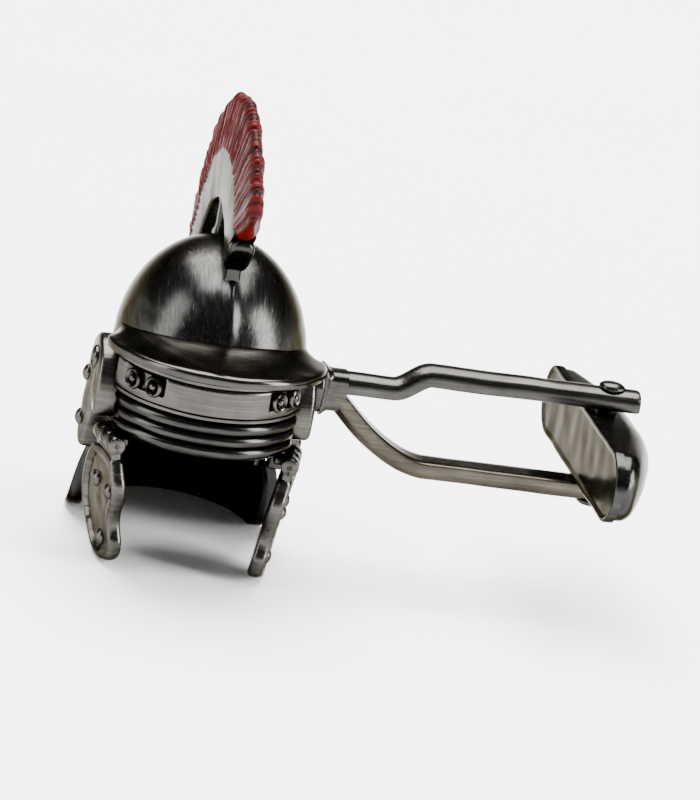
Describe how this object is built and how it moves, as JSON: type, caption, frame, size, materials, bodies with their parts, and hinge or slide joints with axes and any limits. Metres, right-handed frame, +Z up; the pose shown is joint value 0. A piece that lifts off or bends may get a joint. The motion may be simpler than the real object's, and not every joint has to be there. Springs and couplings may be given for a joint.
{
  "type": "cufflink",
  "caption": "Cufflink with a crested antique-style helmet face, a forked post and a swivelling toggle that holds a shirt cuff.",
  "frame": {"origin": "middle of the fork root where it leaves its solder pad on the helmet's left side", "axes": "+Y along the fork towards the toggle, +Z up towards the crest, +X the way the helmet faces"},
  "size_m": [0.0222, 0.0309, 0.0256],
  "materials": {
    "gunmetal_helmet": "brushed black nickel over cast zinc alloy, dark in the recesses",
    "gunmetal_dark": "smooth black nickel",
    "gunmetal_crest": "brushed black nickel, grain along the arch",
    "red_enamel": "satin red enamel over pleated casting",
    "gunmetal_fork": "brushed gunmetal plate, grain along the arms",
    "gunmetal_toggle": "brushed gunmetal plate on folded sheet",
    "spring_steel": "bright spring steel"
  },
  "bodies": {
    "cufflink": {"helmet_bowl": "gunmetal_helmet", "brow_peak": "gunmetal_helmet", "brow_band": "gunmetal_helmet", "brow_rosettes": "gunmetal_helmet", "front_ribs": "gunmetal_helmet", "neck_ribs": "gunmetal_helmet", "neck_guard": "gunmetal_dark", "neck_guard_rim": "gunmetal_dark", "neck_guard_bosses": "gunmetal_dark", "ear_guard_right": "gunmetal_helmet", "ear_guard_left": "gunmetal_helmet", "ear_guard_rivets": "gunmetal_helmet", "ear_guard_studs": "gunmetal_helmet", "cheek_guard_right": "gunmetal_helmet", "cheek_guard_left": "gunmetal_helmet", "cheek_guard_bosses": "gunmetal_helmet", "cheek_hinge_knuckles": "gunmetal_helmet", "cheek_hinge_pins": "gunmetal_helmet", "crest_rail": "gunmetal_crest", "crest_plume": "red_enamel", "crest_strut": "gunmetal_crest", "crest_front_cap": "gunmetal_crest", "crest_front_foot": "gunmetal_crest", "crest_rear_foot": "gunmetal_crest", "solder_pad": "gunmetal_fork", "fork_root": "gunmetal_fork", "fork_arm_upper": "gunmetal_fork", "fork_arm_lower": "gunmetal_fork", "toggle_pin": "gunmetal_fork", "toggle_cam": "spring_steel"},
    "toggle": {"toggle_shell": "gunmetal_toggle", "toggle_base": "gunmetal_toggle", "toggle_spring": "spring_steel"}
  },
  "joints": [
    {"name": "toggle_swivel", "type": "hinge", "parent": "cufflink", "child": "toggle", "pos_m": [0, 0.016, -0.00115], "axis": [0, 0, 1], "range_deg": [-90, 90]}
  ]
}
